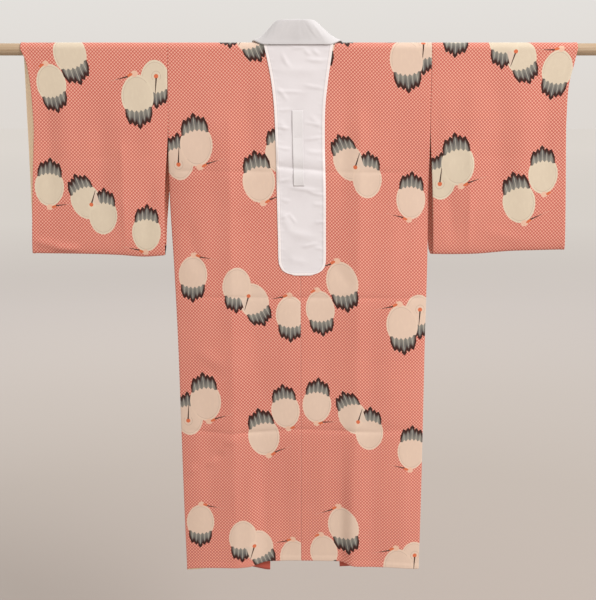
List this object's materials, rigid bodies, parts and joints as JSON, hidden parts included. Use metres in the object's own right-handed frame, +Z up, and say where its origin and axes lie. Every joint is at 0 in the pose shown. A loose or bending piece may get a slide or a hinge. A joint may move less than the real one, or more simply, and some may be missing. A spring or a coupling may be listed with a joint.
{
  "type": "nagajuban on a hanging rod",
  "caption": "Printed under-kimono robe with a white collar cover and neck-pull strip, hung open through both sleeves on a round wooden rod.",
  "frame": {"origin": "on the rod's axis at the garment's centre line, where the rod is held", "axes": "+X along the rod to the wearer's right side, +Y towards the garment's open front (the pictured back faces -Y), +Z up"},
  "size_m": [1.5, 0.0421, 1.3593],
  "materials": {
    "rod": "plain smooth wood, pale",
    "body_left": "thin cloth, fine cream dots and cranes printed on orange red",
    "body_right": "thin cloth, fine cream dots and cranes printed on orange red",
    "sleeve_left": "thin cloth, fine cream dots and cranes printed on orange red",
    "sleeve_right": "thin cloth, fine cream dots and cranes printed on orange red",
    "collar_left": "double cloth, printed outside and plain dark red inside",
    "collar_right": "double cloth, printed outside and plain dark red inside",
    "collar_cover": "plain white cloth",
    "neck_strip": "plain white cloth",
    "loop_tape": "plain white tape"
  },
  "bodies": {
    "root": {"rod": "rod", "body_left": "body_left", "body_right": "body_right", "sleeve_left": "sleeve_left", "sleeve_right": "sleeve_right", "collar_left": "collar_left", "collar_right": "collar_right", "collar_cover": "collar_cover", "neck_strip": "neck_strip", "loop_tape": "loop_tape"}
  },
  "joints": []
}
